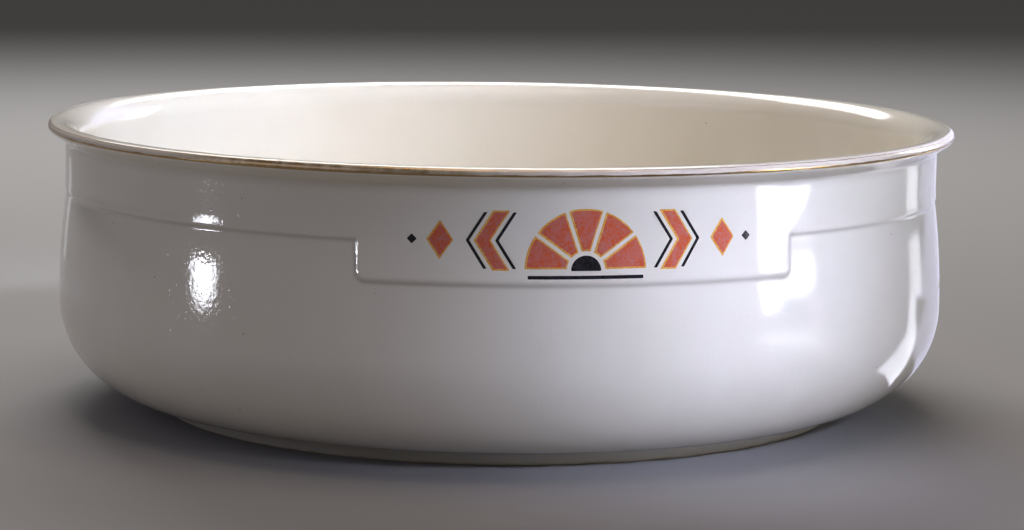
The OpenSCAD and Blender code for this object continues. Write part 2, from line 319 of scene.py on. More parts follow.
# %% Outer surface between the belly and the neck
LEDGE_SOFT = 0.55
COLLAR_FLARE, FLARE_POWER = 0.75, 16
# Past this an exponential is as good as 0 or endless
STEEPEST = 40


def side_radius(z):
    """The body's side: one arc, upright at the belly."""
    return BELLY_R - SIDE_ARC + np.sqrt(SIDE_ARC ** 2 - (z - BELLY_Z) ** 2)


PANEL_ARC = arc_radius(NECK_Z - PANEL_Z, side_radius(PANEL_Z) + PANEL_PROUD - NECK_R)


def panel_radius(z):
    """The panel's hollow: one arc, upright at the neck."""
    fall = np.clip(NECK_Z - z, 0, None)
    return NECK_R + PANEL_ARC - np.sqrt(PANEL_ARC ** 2 - fall ** 2)


def collar_radius(z):
    """The collar beside the panels: nearly upright, with a short flare over its ledge."""
    return NECK_R + COLLAR_FLARE * np.clip((NECK_Z - z) / (NECK_Z - LEDGE_Z), 0, 1) ** FLARE_POWER


def soft_step(distance):
    """0 well outside, 1 well inside; the glaze rounds the step over a few times LEDGE_SOFT."""
    return 1 / (1 + np.exp(-np.clip(distance / LEDGE_SOFT, -STEEPEST, STEEPEST)))


def plain_radius(z):
    """Radius of the turned bowl, before its panels are pressed."""
    raised = soft_step(z - LEDGE_Z)
    return side_radius(z) * (1 - raised) + collar_radius(z) * raised


print("ledge step", round(float(collar_radius(LEDGE_Z) - side_radius(LEDGE_Z)), 2), "mm")


# %% Section lines
def arc(x, z, radius, start, end, steps):
    """Points on an arc round (x, z), from start to end degrees."""
    angles = np.radians(np.linspace(start, end, steps + 1))
    return [(x + radius * math.cos(a), z + radius * math.sin(a)) for a in angles]


def ladder(*stops):
    """Heights from the first stop on: each (height, step) runs up to that height in such steps."""
    heights = [stops[0]]
    for height, step in stops[1:]:
        count = max(1, round(abs(height - heights[-1]) / step))
        heights += list(np.linspace(heights[-1], height, count + 1)[1:])
    return np.array(heights)


def outside(inset, fine):
    """From the top of the foot's fillet to the top of the lip; fine scales the spacing."""
    # The first point lies just beside the foot's fillet, on the flat underside
    points = [(FOOT_R + FOOT_FILLET + 0.4, FOOT_H + inset)]
    corner = BELLY_Z - FOOT_H
    points += arc(BELLY_R - corner, BELLY_Z, corner - inset, -90, 0, round(26 / fine))[1:]
    # Close steps where the panel's lower edge and the ledge lie, wide ones between them
    heights = ladder(BELLY_Z, (PANEL_Z - 2.4, 2.6 * fine), (PANEL_Z + 3.6, 0.34 * fine),
                     (LEDGE_Z - 3.0, 1.5 * fine), (LEDGE_Z + 1.8, 0.3 * fine),
                     (NECK_Z, 1.4 * fine))[1:]
    points += [(float(plain_radius(z)) - inset, float(z)) for z in heights]
    lean = math.degrees(LEAN)
    points += arc(NECK_R + NECK_FILLET, NECK_Z, NECK_FILLET + inset, 180, 180 - lean,
                  round(7 / fine))[1:]
    points += arc(EDGE_X, EDGE_Z, EDGE_R - inset, -lean, EDGE_TOP, round(14 / fine))
    points += arc(ROLL_X, ROLL_Z, ROLL_R - inset, EDGE_TOP, 90, round(3 / fine))[1:]
    return points


def inside(inset, fine):
    """From the top of the lip down to the middle of the floor."""
    points = arc(ROLL_X, ROLL_Z, ROLL_R - inset, 90, 180, round(14 / fine))[1:]
    # Close steps where the upright throat bends into the side
    bend_top, bend_end = 104.0, 82.0
    heights = ladder(ROLL_Z, (bend_top, 4.0), (bend_end, 1.6 * fine), (BELLY_Z, 3.4 * fine))[1:]
    wall = np.array([side_radius(z) - WALL - THROAT_R for z in heights])
    # The turned wall flows from the throat into the arc of the side
    flow = 0.9
    wall = flow * np.log1p(np.exp(np.clip(wall / flow, -STEEPEST, STEEPEST)))
    points += [(THROAT_R + inset + float(w), float(z)) for w, z in zip(wall, heights)]
    corner = BELLY_Z - FLOOR_TOP
    middle = BELLY_R - WALL - corner
    points += arc(middle, BELLY_Z, corner + inset, 0, -90, round(18 / fine))[1:]
    points += [(middle * share, FLOOR_TOP - inset) for share in (0.82, 0.6, 0.35, 0.12, 0)]
    return points


print("section points:", len(outside(0, 1)), "outside,", len(inside(0, 1)), "inside")

# %% [markdown]
# ## Drawing and turning a section
#
# On a wheel the clay turns past a rib that has the section's shape. In Blender that is the spin
# tool: one vertex is extruded along the section, and the line is spun round the Z axis. A single
# spin would space its columns evenly, but the ends of the panels need them closer, so the line is
# spun in sectors, coarse and fine, each from where the last one stopped. Then the seam is merged
# and the normals are made to point outwards.

# %% Sectors of the turn
PANEL_EDGE_AZ = math.degrees(math.asin(PANEL_HALF / side_radius((PANEL_Z + LEDGE_Z) / 2)))
EDGE_SECTOR = 2.8


def sectors(beside, over, ends):
    """(degrees, count) from +X on, for steps beside and over the panels and at their ends."""
    gap = (90 - PANEL_EDGE_AZ - EDGE_SECTOR / 2, beside)
    panel = (2 * PANEL_EDGE_AZ - EDGE_SECTOR, over)
    end = (EDGE_SECTOR, ends)
    return [(angle, round(angle / step)) for angle, step in (gap, end, panel, end, gap) * 2]


print("panel ends at", round(PANEL_EDGE_AZ, 2), "degrees from the middle")


# %% Draw a line and spin it
SEAM = 0.002 * MM


def draw_line(points):
    """A new object that holds one line of edges in the XZ plane; points are in millimetres."""
    bpy.ops.object.select_all(action="DESELECT")
    bpy.ops.mesh.primitive_plane_add(size=MM)
    line = bpy.context.object
    bpy.ops.object.mode_set(mode="EDIT")
    bpy.ops.mesh.select_all(action="SELECT")
    bpy.ops.mesh.merge(type="CENTER")
    bpy.ops.transform.translate(value=(points[0][0] * MM, 0, points[0][1] * MM))
    last = points[0]
    for x, z in points[1:]:
        step = ((x - last[0]) * MM, 0, (z - last[1]) * MM)
        bpy.ops.mesh.extrude_vertices_move(TRANSFORM_OT_translate={"value": step})
        last = (x, z)
    bpy.ops.object.mode_set(mode="OBJECT")
    return line


def turn_on_wheel(name, lines, plan):
    """Spins one or more section lines into one closed piece."""
    drawn = [draw_line(points) for points in lines]
    for line in drawn:
        line.select_set(True)
    piece = drawn[0]
    bpy.context.view_layer.objects.active = piece
    if len(drawn) > 1:
        bpy.ops.object.join()
    piece.name = piece.data.name = name
    bpy.ops.object.mode_set(mode="EDIT")
    bpy.ops.mesh.select_all(action="SELECT")
    for angle, steps in plan:
        bpy.ops.mesh.spin(steps=steps, angle=math.radians(angle), center=(0, 0, 0),
                          axis=(0, 0, -1))
    bpy.ops.mesh.select_all(action="SELECT")
    bpy.ops.mesh.remove_doubles(threshold=SEAM)
    bpy.ops.mesh.normals_make_consistent(inside=False)
    bpy.ops.object.mode_set(mode="OBJECT")
    bpy.ops.object.shade_smooth()
    print(name, "has", len(piece.data.polygons), "faces")
    return piece


print("a seam closes gaps up to", SEAM / MM, "mm")

# %% [markdown]
# ## Pressing the panels
#
# The panel is part of the same clay: the collar's surface is carried down below the ledge between
# two ends. It could be a separate plate, but a plate would show a seam. Instead the turned surface
# is moved in and out where the panel's soft outline says, like clay pressed against a mould.

# %% The panel's outline
CORNER_FILL = 1.2


def panel_distance(along, z):
    """How far a point lies inside the collar with its panel, in mm; negative is outside."""
    # The panel: a rectangle with rounded lower corners, which runs up into the collar
    over_x = np.abs(along) - PANEL_HALF + PANEL_CORNER
    over_z = PANEL_Z + PANEL_CORNER - z
    outside_part = np.hypot(np.clip(over_x, 0, None), np.clip(over_z, 0, None))
    inside_part = np.minimum(np.maximum(over_x, over_z), 0)
    panel = PANEL_CORNER - outside_part - inside_part
    collar = z - LEDGE_Z
    # The inner corner where ledge and panel meet is filled a little by the glaze
    blend = np.clip(0.5 + 0.5 * (panel - collar) / CORNER_FILL, 0, 1)
    return collar * (1 - blend) + panel * blend + CORNER_FILL * blend * (1 - blend)


print("at the ledge's height the panel's middle lies",
      round(float(panel_distance(0, LEDGE_Z)), 1), "mm inside the outline")


# %% Press the panels
# Past this radius a vertex belongs to the wall's outside
OUTER_R = THROAT_R + 3
# Where the collar's flare gives way to the panel's hollow, and how softly
FLARE_END, FLARE_FADE = PANEL_HALF + 4, 3


def vertices_in_mm(mesh):
    """The places of a mesh's vertices as rows of x, y and z, in millimetres."""
    co = np.empty(len(mesh.vertices) * 3)
    mesh.vertices.foreach_get("co", co)
    return co.reshape(-1, 3) / MM


def unrolled(co):
    """How far out, how high and how far along from the panel's middle each vertex lies."""
    radius, z = np.hypot(co[:, 0], co[:, 1]), co[:, 2]
    return radius, z, side_radius(z.clip(0, LIP_H)) * co[:, 0] / radius.clip(1)


def press_panels(piece):
    """Moves the outside of a turned piece to the collar's and the panels' pressed shape."""
    mesh = piece.data
    co = vertices_in_mm(mesh)
    radius, z, along = unrolled(co)
    raised = soft_step(panel_distance(along, z))
    # Over the panel the collar's surface is the panel's hollow; beside it, the collar's flare
    over_panel = soft_step((FLARE_END - np.abs(along)) / FLARE_FADE)
    skin = panel_radius(z) * over_panel + collar_radius(z) * (1 - over_panel)
    target = side_radius(z.clip(0, LIP_H)) * (1 - raised) + skin * raised
    outer = (radius > OUTER_R) & (z > BELLY_Z) & (z < NECK_Z)
    move = np.where(outer, target - plain_radius(z.clip(BELLY_Z, NECK_Z)), 0)
    co[:, :2] *= (1 + move / radius.clip(1))[:, None]
    mesh.vertices.foreach_set("co", (co * MM).ravel())
    mesh.update()
    print(piece.name, "pressed out by up to", round(float(move.max()), 2), "mm")


print("the collar's flare gives way to the panel", FLARE_END, "mm from the middle")

# %% [markdown]
# ## The fired body
#
# Under the glaze lies the fired clay. It only shows where the glaze was wiped off, on the edge
# that the foot rests on. A thin rim there would do for the render, but the body is turned whole,
# one glaze thickness inside the finished surface, so that a chip or a cut shows the real wall.


# %% Section of the foot
def foot_side(inset, steps):
    """The fillet that leads from the bowl's underside down to the foot ring's outer wall."""
    return arc(FOOT_R + FOOT_FILLET, FOOT_H - FOOT_FILLET, FOOT_FILLET + inset, 90, 180, steps)


def resting_edge(inset):
    """Round the foot ring's lower edge, from where the glaze ends outside to where inside."""
    outer, inner = FOOT_R - inset, FOOT_R - FOOT_W + inset
    points = [(outer, GLAZE_STOP)]
    points += arc(outer - FOOT_ROUND, FOOT_ROUND, FOOT_ROUND, 0, -90, 5)
    points += arc(inner + FOOT_ROUND, FOOT_ROUND, FOOT_ROUND, -90, -180, 5)
    return points + [(inner, GLAZE_STOP)]


def recess(inset, steps):
    """From the foot ring's inner wall to the middle of the recess under the floor."""
    points = arc(FOOT_R - FOOT_W - FOOT_FILLET, RECESS_H - FOOT_FILLET, FOOT_FILLET + inset,
                 0, 90, steps)
    return points + [(r, RECESS_H + inset) for r in (120, 70, 25, 0)]


print("the foot rests on a ring", FOOT_W - 2 * FOOT_ROUND, "mm wide, less the glaze")

# %% Turn the body
PLAN = sectors(beside=1.9, over=1.1, ends=0.15)
foot_line = foot_side(GLAZE, 5) + resting_edge(GLAZE) + recess(GLAZE, 5)
body_line = foot_line[::-1] + outside(GLAZE, 2) + inside(GLAZE, 2)
print("body line", len(body_line), "points; columns", sum(count for _, count in PLAN))

fired_body = turn_on_wheel("fired_body", [body_line], PLAN)
press_panels(fired_body)
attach(fired_body, "root")
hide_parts("clay_body")

# %% [markdown]
# ## The glaze
#
# The glaze is a real skin with two faces: the gloss outside, and the side that grips the clay. A
# body with a glossy material would look much the same, but a skin can be taken off and stops where
# the real one stops. It ends in a small bead above the foot's resting edge. The recess under the
# bowl has a glaze skin of its own, which is turned along with the rest.


# %% Section of the glaze
def bead(wall, start, end):
    """The glaze's rounded end on the foot ring; wall is the middle of the glaze's thickness."""
    return arc(wall, GLAZE_STOP + GLAZE / 2, GLAZE / 2, start, end, 4)


outer_face = bead(FOOT_R - GLAZE / 2, 180, 360) + foot_side(0, 6)[::-1]
outer_face += outside(0, 1) + inside(0, 1)
inner_face = foot_side(GLAZE, 5)[::-1] + outside(GLAZE, 2) + inside(GLAZE, 2)
glaze_line = inner_face[::-1] + outer_face

recess_face = bead(FOOT_R - FOOT_W + GLAZE / 2, 360, 180) + recess(0, 6)
recess_line = recess(GLAZE, 5)[::-1] + recess_face
print("glaze line", len(glaze_line), "points, recess line", len(recess_line))

# %% Turn the glaze
glazed_surface = turn_on_wheel("glazed_surface", [glaze_line, recess_line], PLAN)
press_panels(glazed_surface)
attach(glazed_surface, "root")
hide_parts("glaze_coat")

# %% [markdown]
# ## The gilded edge
#
# The gold is a line that is brushed on the lip's rounded edge and fired. It could be painted in
# the glaze's material, but it is a film of its own, a little thicker than the real one, so that
# it has a border which catches the light.

# %% Turn the gilding
# The band starts 20 degrees below the middle of the edge's arc, and 2 degrees slope at each border
GILT_BELOW, BORDER = -20, 2
FILM, BEDDED = 0.08, 0.03
COLUMNS = 480
gilt_line = arc(EDGE_X, EDGE_Z, EDGE_R + FILM, GILT_BELOW + BORDER, EDGE_TOP - BORDER, 20)
gilt_line += arc(EDGE_X, EDGE_Z, EDGE_R - BEDDED, EDGE_TOP, GILT_BELOW, 10)
gilt_line.append(gilt_line[0])
print("the gold reaches from", GILT_BELOW, "to", round(EDGE_TOP), "degrees round the edge")

gilded_edge = turn_on_wheel("gilded_edge", [gilt_line], [(360, COLUMNS)])
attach(gilded_edge, "root")
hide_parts("gilt_rim_band")

# %% [markdown]
# ## The printed ornament
#
# The ornament is printed in fired colours: yellow first, a little wider, then coral over it, and
# black beside them. Painting it into the glaze's material would be quicker, but each colour is a
# layer that can be felt on the real bowl. So every figure is cut from flat sheet, laid on the
# panel with the Shrinkwrap modifier, and given its thickness with Solidify. The sizes are those
# of the CAD model, in millimetres.

# %% Sizes of the ornament
FAN_Z = PANEL_Z + 5.4
FAN_CORE, FAN_IN, FAN_OUT = 6.0, 8.4, 23.5
RAYS, RAY_GAP = 5, 2.8
BAR_LENGTH, LINE = 46.0, 1.4
CHEVRON_AT, CHEVRON_HEIGHT, CHEVRON_POINT, CHEVRON_WIDE = 37.0, 22.0, 7.0, 5.0
THIN_OFFSET = 1.8 + LINE
DIAMOND_AT, DIAMOND_W, DIAMOND_H = 57.0, 9.0, 13.0
SPOT_AT, SPOT_W = 68.0, 4.0
MIDDLE_Z = FAN_Z + FAN_OUT / 2
YELLOW_RIM = 0.7
RAY_STEP = 180 / RAYS
print("the fan stands", round(FAN_Z, 1), "mm above the floor; its rays are", RAY_STEP,
      "degrees apart")


# %% Cutting flat sheet
def take(piece, mode="OBJECT"):
    """Makes a piece the only selected and active one."""
    bpy.ops.object.select_all(action="DESELECT")
    piece.select_set(True)
    bpy.context.view_layer.objects.active = piece
    bpy.ops.object.mode_set(mode=mode)


def apply_place(piece):
    """Moves a piece's place, turn and scale into its mesh."""
    take(piece)
    bpy.ops.object.transform_apply(location=True, rotation=True, scale=True)


def cut_away(piece, point, away):
    """Cuts a flat piece along a line through point and removes what lies on the away side."""
    take(piece, "EDIT")
    bpy.ops.mesh.select_all(action="SELECT")
    bpy.ops.mesh.bisect(plane_co=(point[0] * MM, 0, point[1] * MM), plane_no=(away[0], 0, away[1]),
                        clear_outer=True)
    bpy.ops.object.mode_set(mode="OBJECT")


def one_face(piece):
    """Makes one face of all that is left of a flat piece."""
    take(piece, "EDIT")
    bpy.ops.mesh.select_all(action="SELECT")
    bpy.ops.mesh.remove_doubles(threshold=SEAM / 2)
    bpy.ops.mesh.dissolve_faces()
    bpy.ops.object.mode_set(mode="OBJECT")


print("figures are cut in the XZ plane and bent round a radius of", round(NECK_R, 1), "mm")


# %% Flat sheet to cut from
DISC_CORNERS = 96


def flat_disc(radius, corners=DISC_CORNERS):
    """A round sheet that faces the viewer."""
    bpy.ops.object.select_all(action="DESELECT")
    bpy.ops.mesh.primitive_circle_add(vertices=corners, radius=radius * MM, fill_type="NGON",
                                      rotation=(math.pi / 2, 0, 0))
    disc = bpy.context.object
    apply_place(disc)
    return disc


def flat_grid(width, height, rows):
    """A rectangular sheet that faces the viewer, in so many rows."""
    bpy.ops.object.select_all(action="DESELECT")
    bpy.ops.mesh.primitive_grid_add(x_subdivisions=1, y_subdivisions=rows, size=MM,
                                    rotation=(math.pi / 2, 0, 0))
    sheet = bpy.context.object
    sheet.scale = (width, height, 1)
    apply_place(sheet)
    return sheet


print("a disc of the fan's size strays by",
      round(FAN_OUT * (1 - math.cos(math.pi / DISC_CORNERS)), 3), "mm from a true circle")


# %% Half disc and rays of the fan
def half_disc():
    """The fan's black core."""
    figure = flat_disc(FAN_CORE)
    cut_away(figure, (0, 0), (0, -1))
    return figure


def ray(grow):
    """One ray, upright: a ring sector whose sides run along the gaps beside it."""
    figure = flat_disc(FAN_OUT + grow)
    take(figure, "EDIT")
    bpy.ops.mesh.select_all(action="SELECT")
    bpy.ops.mesh.inset(thickness=(FAN_OUT - FAN_IN + 2 * grow) * MM)
    bpy.ops.mesh.delete(type="FACE")
    bpy.ops.object.mode_set(mode="OBJECT")
    half = math.radians(RAY_STEP / 2)
    side = (RAY_GAP / 2 - grow) / math.sin(half)
    cut_away(figure, (0, side), (math.cos(half), -math.sin(half)))
    cut_away(figure, (0, side), (-math.cos(half), -math.sin(half)))
    one_face(figure)
    return figure


print("the gap beside a ray is", round(RAY_GAP - 2 * YELLOW_RIM, 1), "mm wide after the yellow")


# %% Bar, chevron and diamond
def bar():
    """The line under the fan."""
    return flat_grid(BAR_LENGTH, LINE, 1)


def chevron(wide, grow):
    """A chevron that points to the right; grow widens it evenly all round."""
    half = CHEVRON_HEIGHT / 2
    slant = grow * math.hypot(1, CHEVRON_POINT / half)
    figure = flat_grid(wide + 2 * slant, CHEVRON_HEIGHT + 2 * grow, 2)
    # Its middle row is pushed to the right
    take(figure, "EDIT")
    bpy.ops.mesh.select_all(action="DESELECT")
    bpy.ops.object.mode_set(mode="OBJECT")
    for corner in figure.data.vertices:
        corner.select = abs(corner.co.z) < 0.1 * MM
    bpy.ops.object.mode_set(mode="EDIT")
    bpy.ops.transform.translate(value=(CHEVRON_POINT * (1 + grow / half) * MM, 0, 0))
    bpy.ops.object.mode_set(mode="OBJECT")
    figure.location.x = -CHEVRON_POINT * (0.5 + grow / half) * MM
    apply_place(figure)
    one_face(figure)
    return figure


def diamond(width, height, grow):
    """A diamond; grow widens it evenly all round."""
    side = math.hypot(width, height)
    figure = flat_disc(1, 4)
    figure.scale = (width / 2 + grow * side / height, 1, height / 2 + grow * side / width)
    apply_place(figure)
    return figure


print("a chevron's arm leans", round(math.degrees(math.atan2(CHEVRON_POINT, CHEVRON_HEIGHT / 2))),
      "degrees")

# %% [markdown]
# ## Laying the ornament on the panel
#
# A print is made flat and then pressed on the round bowl. A flat figure can't bend where it has no
# vertices, so it is first cut into small cells. Its corners are rounded before that, because
# colour that flows a little in the kiln leaves no sharp corner.

# %% Round the corners and slice
PRINT_CELL = 2.0
PRINT_CORNER, SHARP = 0.35, math.radians(20)


def soften_corners(figure, radius):
    """Rounds the sharp corners of a flat figure."""
    take(figure)
    corners = [v.co.copy() for v in figure.data.vertices]
    ring = list(figure.data.polygons[0].vertices)
    for position, index in enumerate(ring):
        before = corners[index] - corners[ring[position - 1]]
        after = corners[ring[(position + 1) % len(ring)]] - corners[index]
        figure.data.vertices[index].select = before.angle(after) > SHARP
    bpy.ops.object.mode_set(mode="EDIT")
    bpy.ops.mesh.select_mode(type="VERT")
    bpy.ops.mesh.bevel(offset=radius * MM, segments=3, affect="VERTICES")
    bpy.ops.object.mode_set(mode="OBJECT")


def slice_for_bending(figure):
    """Cuts a flat figure into small cells, so that it can follow the round panel."""
    for axis, normal in ((0, (1, 0, 0)), (2, (0, 0, 1))):
        low = min(v.co[axis] for v in figure.data.vertices)
        high = max(v.co[axis] for v in figure.data.vertices)
        cells = math.ceil((high - low) / (PRINT_CELL * MM))
        take(figure, "EDIT")
        for cut in range(1, cells):
            place = [0.0, 0.0, 0.0]
            place[axis] = low + (high - low) * cut / cells
            bpy.ops.mesh.select_all(action="SELECT")
            bpy.ops.mesh.bisect(plane_co=place, plane_no=normal)
        bpy.ops.object.mode_set(mode="OBJECT")


print("each cell bends by", round(math.degrees(PRINT_CELL / NECK_R), 2), "degrees")

# %% Lay a figure on the panel
STAND_OFF = 20


def lay_on_panel(figure, along, z, turn=0.0, shift=0.0):
    """Bends a flat figure on to the panel, along mm to the right of its middle at height z."""
    soften_corners(figure, PRINT_CORNER)
    figure.rotation_euler.y = math.radians(-turn)
    figure.location = (shift * MM, -(LIP_R + STAND_OFF) * MM, z * MM)
    apply_place(figure)
    slice_for_bending(figure)
    bpy.ops.object.modifier_add(type="SHRINKWRAP")
    wrap = figure.modifiers[-1]
    wrap.target = glazed_surface
    wrap.wrap_method = "PROJECT"
    wrap.use_project_y = True
    wrap.use_positive_direction = True
    bpy.ops.object.modifier_apply(modifier=wrap.name)
    figure.rotation_euler.z = along / NECK_R
    apply_place(figure)
    return figure


print("figures start", STAND_OFF, "mm before the lip and are projected back")


# %% One print of each colour
def stand_for(piece, side, colour):
    """Sets a print in the place of its node on the front or the back panel."""
    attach(piece, "root")
    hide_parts(f"{side}_enamel_{colour}")


def finish_print(colour, figures, thickness):
    """Joins the figures of one colour, gives them thickness and copies them to the back."""
    take(figures[0])
    for figure in figures:
        figure.select_set(True)
    bpy.ops.object.join()
    piece = figures[0]
    piece.name = piece.data.name = f"front_{colour}_print"
    bpy.ops.object.modifier_add(type="SOLIDIFY")
    thicken = piece.modifiers[-1]
    thicken.thickness = thickness * MM
    # Most of the thickness stands out, and the rest is bedded in the glaze
    thicken.offset = 0.6
    bpy.ops.object.modifier_apply(modifier=thicken.name)
    stand_for(piece, "front", colour)
    # The copy is made last, so it names the front's node beside its own
    back = piece.copy()
    back.data = piece.data.copy()
    back.name = back.data.name = f"back_{colour}_print"
    bpy.context.scene.collection.objects.link(back)
    back.rotation_euler.z = math.pi
    apply_place(back)
    stand_for(back, "back", colour)
    print(piece.name, "has", len(piece.data.polygons), "faces")
    return piece, back


print("the back print is the front one, turned by", round(math.degrees(math.pi)), "degrees")


# %% Print the ornament
COLOUR_SHIFT = 0.15


def filled_figures(grow, shift):
    """The rays, broad chevrons and diamonds; shift moves a colour beside the one under it."""
    figures = [lay_on_panel(ray(grow), 0, FAN_Z, (i + 0.5) * RAY_STEP - 90, shift)
               for i in range(RAYS)]
    for side in (-1, 1):
        broad = lay_on_panel(chevron(CHEVRON_WIDE, grow), side * CHEVRON_AT, MIDDLE_Z,
                             90 - side * 90, shift)
        gem = lay_on_panel(diamond(DIAMOND_W, DIAMOND_H, grow), side * DIAMOND_AT, MIDDLE_Z, 0,
                           shift)
        figures += [broad, gem]
    return figures


def black_figures():
    """The fan's core, the bar under it, the thin chevrons and the small squares."""
    figures = [lay_on_panel(half_disc(), 0, FAN_Z),
               lay_on_panel(bar(), 0, FAN_Z - THIN_OFFSET + LINE / 2)]
    for side in (-1, 1):
        for step in (-1, 1):
            along = CHEVRON_AT + step * (CHEVRON_WIDE / 2 + THIN_OFFSET)
            figures.append(lay_on_panel(chevron(LINE, 0), side * along, MIDDLE_Z, 90 - side * 90))
        figures.append(lay_on_panel(diamond(SPOT_W, SPOT_W, 0), side * SPOT_AT, MIDDLE_Z))
    return figures


yellow_prints = finish_print("yellow", filled_figures(YELLOW_RIM, 0), 0.07)
coral_prints = finish_print("coral", filled_figures(0, COLOUR_SHIFT), 0.16)
black_prints = finish_print("black", black_figures(), 0.1)

# %% [markdown]
# ## The glaze's finish
#
# The bowl is ivory earthenware under a clear gloss glaze. A fired glaze is never quite flat: it
# keeps a fine ripple, called orange peel, which breaks the edges of every reflection, and a longer
# wave from the pressing. It also runs into hollow corners and looks darker and warmer where it is
# thick. Those corners are painted darker and warmer still, as painted shade. The ripple is far too
# fine to model, so it is a bump, but where the glaze is thick and the shade is painted comes from
# the shape: it is worked out for each vertex and kept in an attribute.


# %% Where the glaze is thick, and where shade is painted
def keep_on_vertices(mesh, name, values):
    """Stores one number per vertex as an attribute that a material can read."""
    layer = mesh.attributes.new(name, "FLOAT", "POINT")
    layer.data.foreach_set("value", values.astype(np.float32))


# How wide the band of thick glaze and painted shade in the corners is, in mm
POOL_AND_SHADE_WIDTH = 0.9


def mark_pooled_glaze_and_shade(mesh):
    """Fills an attribute: 1 in the corner under the ledge, the panels and the lip, where glaze
    pools and shade is painted.
    """
    radius, z, along = unrolled(vertices_in_mm(mesh))
    outer = radius > OUTER_R
    ledge = np.exp(-((panel_distance(along, z) + 0.7) / POOL_AND_SHADE_WIDTH) ** 2)
    neck = np.exp(-((z - NECK_Z - 0.5) / (2 * POOL_AND_SHADE_WIDTH)) ** 2)
    foot = np.exp(-((radius - FOOT_R - 1) / (2 * POOL_AND_SHADE_WIDTH)) ** 2) * (z < FOOT_H + 2)
    pooled_and_shaded = np.where(outer & (z > BELLY_Z), ledge + 0.5 * neck, foot)
    keep_on_vertices(mesh, "pooled_and_shaded", pooled_and_shaded.clip(0, 1))
    print("pooled glaze on", int((pooled_and_shaded > 0.5).sum()), "vertices")


mark_pooled_glaze_and_shade(glazed_surface.data)

# %% Ivory earthenware, as it shows through the clear glaze
CLOUD = 0.030
# How far the corners are darkened and warmed: thicker glaze and painted shade
POOL_AND_SHADE_DARKENING = 0.32
SPECK_CELL, SPECK_R, SPECK_CHANCE = 0.008, 0.00028, 0.25
glaze_finish, tree = new_material("clear_gloss_glaze_on_ivory_earthenware")
place = add(tree, "TexCoord").outputs["Object"]
# Ivory that varies a little, and is warmer and darker in the hollow corners: thick glaze there,
# and painted shade
cloud = add(tree, "TexNoise", {"Vector": place, "Scale": 1 / CLOUD, "Detail": 3.0})
ivory = add(tree, "MixRGB", {"Fac": cloud.outputs["Fac"], "Color1": linear("#e6dfcd"),
                             "Color2": linear("#efe9da")})
pooled_and_shaded = add(tree, "Attribute", attribute_name="pooled_and_shaded")
pool_and_shade_share = add(tree, "Math", {0: pooled_and_shaded.outputs["Fac"], 1: POOL_AND_SHADE_DARKENING}, operation="MULTIPLY")
# The dark warm tone of the corners stands for thicker glaze and for painted shade
with_pools_and_shade = add(tree, "MixRGB", {"Fac": pool_and_shade_share.outputs[0], "Color1": ivory.outputs[0],
                                  "Color2": linear("#8f8672")})
# Iron specks in the clay: one small dot in some of the cells
cells = add(tree, "TexVoronoi", {"Vector": place, "Scale": 1 / SPECK_CELL})
near = add(tree, "Math", {0: cells.outputs["Distance"], 1: SPECK_R / SPECK_CELL},
           operation="LESS_THAN")
chance = add(tree, "SeparateColor", {"Color": cells.outputs["Color"]})
chosen = add(tree, "Math", {0: chance.outputs["Red"], 1: 1 - SPECK_CHANCE},
             operation="GREATER_THAN")
speck = add(tree, "Math", {0: near.outputs[0], 1: chosen.outputs[0]}, operation="MULTIPLY")
surface_colour = add(tree, "MixRGB", {"Fac": speck.outputs[0], "Color1": with_pools_and_shade.outputs[0],
                                      "Color2": linear("#5b4a3a")})
print("specks of", 2 * SPECK_R / MM, "mm, in one of", round(1 / SPECK_CHANCE), "cells")

# %% Ripple, wave and pinholes of the glaze
WAVE, WAVE_DEEP = 0.022, 0.00009
RIPPLE, RIPPLE_DEEP = 0.0018, 0.000042
PIT_CELL, PIT_R, PIT_DEEP = 0.0028, 0.0004, 0.00004
# The fine ripple rides on the longer wave, and both break up what the gloss reflects
wave = add(tree, "TexNoise", {"Vector": place, "Scale": 1 / WAVE, "Detail": 0.0})
waved = add(tree, "Bump", {"Height": wave.outputs["Fac"], "Distance": WAVE_DEEP,
                           "Strength": 1.0})
ripple = add(tree, "TexNoise", {"Vector": place, "Scale": 1 / RIPPLE, "Detail": 1.5})
rippled = add(tree, "Bump", {"Height": ripple.outputs["Fac"], "Distance": RIPPLE_DEEP,
                             "Strength": 1.0, "Normal": waved.outputs[0]})
# Pinholes show as dark dots in every reflection of a window. Real ones are finer; these are drawn
# as coarse as they need to be to show
pinholes = add(tree, "TexVoronoi", {"Vector": place, "Scale": 1 / PIT_CELL})
hollow = add(tree, "MapRange", {"Value": pinholes.outputs["Distance"],
                                "From Max": PIT_R / PIT_CELL})
pitted = add(tree, "Bump", {"Height": hollow.outputs[0], "Distance": PIT_DEEP, "Strength": 1.0,
                            "Normal": rippled.outputs[0]})
# A gloss glaze is nearly as smooth as glass and bends light as glass does
glaze_shader = add(tree, "BsdfPrincipled", {
    "Base Color": surface_colour.outputs[0], "Roughness": 0.055, "IOR": 1.5,
    "Normal": pitted.outputs[0]})
finish_material(tree, glaze_shader)
cover(glazed_surface, glaze_finish)
print("ripple every", RIPPLE / MM, "mm, wave every", WAVE / MM, "mm")

# %% [markdown]
# ## The bare clay
#
# The foot's resting edge was wiped clean before the firing, so that the bowl would not stick to
# the kiln shelf. There the earthenware is bare: buff, matt and dry, with a fine grain, and stained
# by everything it ever stood on.

